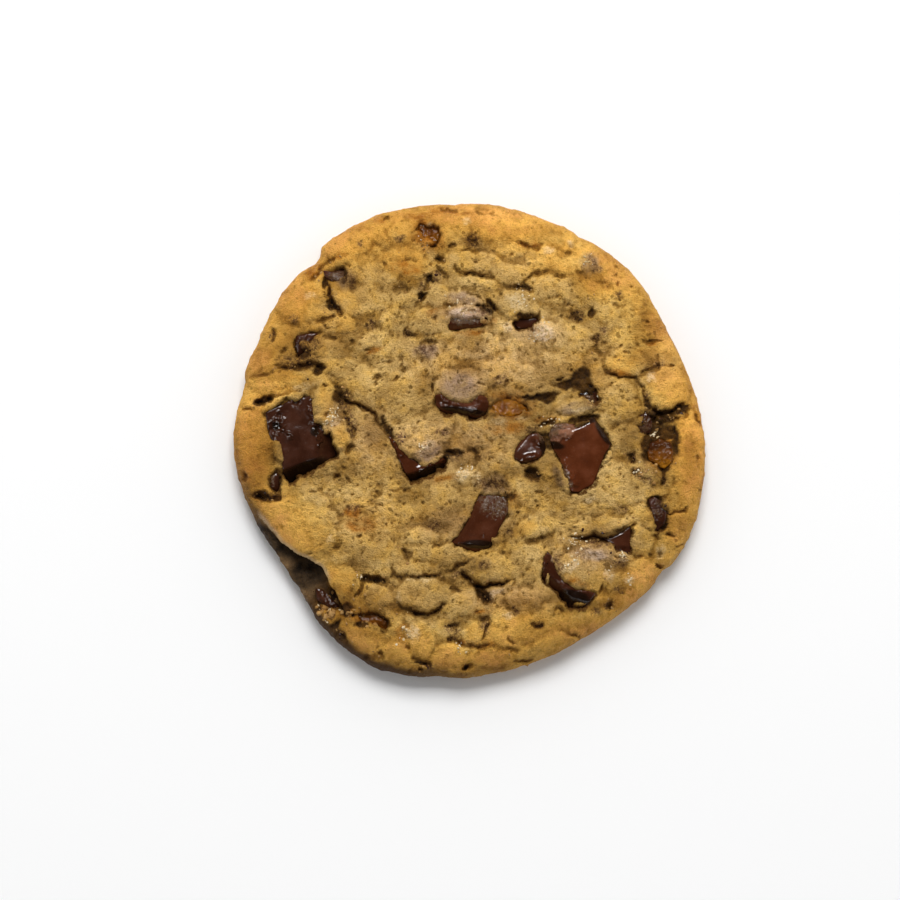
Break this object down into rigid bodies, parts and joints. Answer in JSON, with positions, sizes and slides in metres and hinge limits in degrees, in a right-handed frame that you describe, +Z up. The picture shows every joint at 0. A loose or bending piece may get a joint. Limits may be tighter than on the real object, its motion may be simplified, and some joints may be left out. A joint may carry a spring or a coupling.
{
  "type": "chocolate chunk cookie",
  "caption": "Round baked cookie, domed and cracked on top, flat underneath, with dark chocolate chunks and soft caramel pieces set into it.",
  "frame": {"origin": "on the table under the middle of the flat underside", "axes": "+Z up through the cookie, +X to the right and +Y to the top of the cookie as seen from above with the slumped lobe at the lower left"},
  "size_m": [0.09, 0.0907, 0.011],
  "materials": {
    "dough": "baked golden-brown crumb, matt and porous, browner at the rim, olive-beige in the middle",
    "chocolate": "dark chocolate, softly glossy where it melted and set, with a pale dough film in places",
    "caramel": "amber caramel, glossy and slightly see-through, with small bubbles"
  },
  "bodies": {
    "root": {"dough": "dough", "chunk_west": "chocolate", "chunk_centre": "chocolate", "chunk_fold": "chocolate", "chunk_east_small": "chocolate", "chunk_east": "chocolate", "chunk_south": "chocolate", "chunk_southeast": "chocolate", "chunk_northwest": "chocolate", "chunk_northwest_low": "chocolate", "chunk_west_low": "chocolate", "chunk_crack": "chocolate", "chunk_hollow": "chocolate", "chunk_north": "chocolate", "chunk_north_deep": "chocolate", "chunk_rim_east": "chocolate", "chunk_rim_southeast": "chocolate", "chunk_ledge": "chocolate", "caramel_north": "caramel", "caramel_centre": "caramel", "caramel_east": "caramel", "caramel_southwest": "caramel"}
  },
  "joints": []
}
